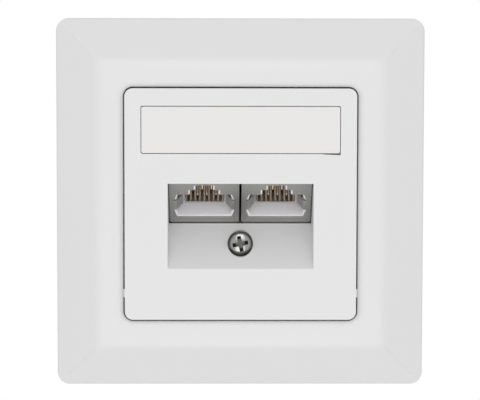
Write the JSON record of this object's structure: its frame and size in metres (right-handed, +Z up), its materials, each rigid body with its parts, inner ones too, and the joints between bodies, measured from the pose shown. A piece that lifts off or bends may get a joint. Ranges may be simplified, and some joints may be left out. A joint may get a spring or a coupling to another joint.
{
  "type": "ethernet wall socket",
  "caption": "Flush-mounted data socket: sloping square cover frame, central plate with label field and two angled RJ45 ports, shielded housing behind.",
  "frame": {"origin": "centre of the box-screw pattern of the support ring, in the wall plane", "axes": "+X to the right seen from the room, +Y into the wall, +Z up"},
  "size_m": [0.08, 0.0388, 0.08],
  "materials": {
    "cover_plastic": "satin",
    "label_plastic": "satin",
    "label_paper": "matte",
    "screw_steel": "polished",
    "zinc_sheet": "satin",
    "cast_zinc": "matte",
    "board": "satin",
    "shield_sheet": "satin",
    "insert_plastic": "satin",
    "contact_gold": "polished",
    "block_plastic": "satin",
    "fork_metal": "satin"
  },
  "bodies": {
    "root": {"cover_frame": "cover_plastic", "central_plate": "cover_plastic", "label_cover": "label_plastic", "label_strip": "label_paper", "plate_screw": "screw_steel", "support_ring": "zinc_sheet", "ring_screws": "screw_steel", "housing_body": "cast_zinc", "housing_lid": "cast_zinc", "lid_screws": "screw_steel", "cable_clamp": "zinc_sheet", "clamp_screws": "screw_steel", "circuit_board": "board", "left_jack_shield": "shield_sheet", "right_jack_shield": "shield_sheet", "left_jack_insert": "insert_plastic", "right_jack_insert": "insert_plastic", "left_contact_carrier": "insert_plastic", "right_contact_carrier": "insert_plastic", "left_jack_contacts": "contact_gold", "right_jack_contacts": "contact_gold", "lower_terminal_block": "block_plastic", "upper_terminal_block": "block_plastic", "lower_forked_contacts": "fork_metal", "upper_forked_contacts": "fork_metal"}
  },
  "joints": []
}
